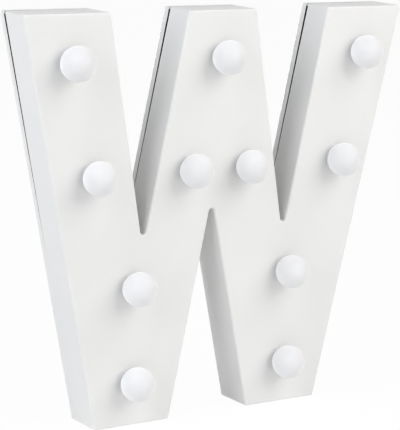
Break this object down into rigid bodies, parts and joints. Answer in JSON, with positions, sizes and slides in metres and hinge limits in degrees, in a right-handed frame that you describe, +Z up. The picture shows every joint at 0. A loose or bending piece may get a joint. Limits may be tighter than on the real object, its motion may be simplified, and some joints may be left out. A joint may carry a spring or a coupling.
{
  "type": "light-up letter",
  "caption": "White marquee letter W with frosted globe lamps on its face, a screwed back cover, a battery door, a slide switch and keyhole hangers.",
  "frame": {"origin": "middle of the object's bounding box in width and depth, at the underside of its feet", "axes": "+X across the letter to its right as read, +Y from its lit face to its back, +Z up"},
  "size_m": [0.2398, 0.0404, 0.22],
  "materials": {
    "white_abs": "satin",
    "frosted_globe": "satin",
    "holder_white": "matt",
    "lamp_lens": "gloss",
    "cable_pvc": "matt",
    "red_pvc": "matt",
    "black_pvc": "matt",
    "resistor_tan": "satin",
    "cell_sleeve": "satin",
    "nickel_plate": "satin",
    "spring_steel": "satin",
    "zinc_steel": "satin",
    "brown_phenolic": "matt",
    "black_plastic": "satin",
    "wiper_brass": "satin"
  },
  "bodies": {
    "letter": {"front_shell": "white_abs", "back_cover": "white_abs", "cover_screws": "zinc_steel", "bulb_1": "frosted_globe", "bulb_2": "frosted_globe", "bulb_3": "frosted_globe", "bulb_4": "frosted_globe", "bulb_5": "frosted_globe", "bulb_6": "frosted_globe", "bulb_7": "frosted_globe", "bulb_8": "frosted_globe", "bulb_9": "frosted_globe", "bulb_10": "frosted_globe", "bulb_11": "frosted_globe", "led_holder_1": "holder_white", "led_holder_2": "holder_white", "led_holder_3": "holder_white", "led_holder_4": "holder_white", "led_holder_5": "holder_white", "led_holder_6": "holder_white", "led_holder_7": "holder_white", "led_holder_8": "holder_white", "led_holder_9": "holder_white", "led_holder_10": "holder_white", "led_holder_11": "holder_white", "led_1": "lamp_lens", "led_2": "lamp_lens", "led_3": "lamp_lens", "led_4": "lamp_lens", "led_5": "lamp_lens", "led_6": "lamp_lens", "led_7": "lamp_lens", "led_8": "lamp_lens", "led_9": "lamp_lens", "led_10": "lamp_lens", "led_11": "lamp_lens", "loom_left": "cable_pvc", "loom_middle": "cable_pvc", "loom_right": "cable_pvc", "wire_feed": "red_pvc", "wire_positive": "red_pvc", "wire_negative": "black_pvc", "resistor": "resistor_tan", "cell_1": "cell_sleeve", "cell_2": "cell_sleeve", "contact_negative": "nickel_plate", "contact_positive": "nickel_plate", "contact_bridge": "nickel_plate", "spring_negative": "spring_steel", "spring_bridge": "spring_steel", "switch_frame": "zinc_steel", "switch_base": "brown_phenolic", "switch_terminals": "nickel_plate"},
    "door": {"battery_door": "white_abs"},
    "knob": {"switch_slider": "black_plastic", "switch_wiper": "wiper_brass"}
  },
  "joints": [
    {"name": "switch_slide", "type": "slide", "parent": "letter", "child": "knob", "axis": [1, 0, 0], "range_m": [0, 0.004]},
    {"name": "door_hinge", "type": "hinge", "parent": "letter", "child": "door", "pos_m": [-0.04969, 0.01943, 0.09371], "axis": [1, 0, 0], "range_deg": [0, 70]}
  ]
}
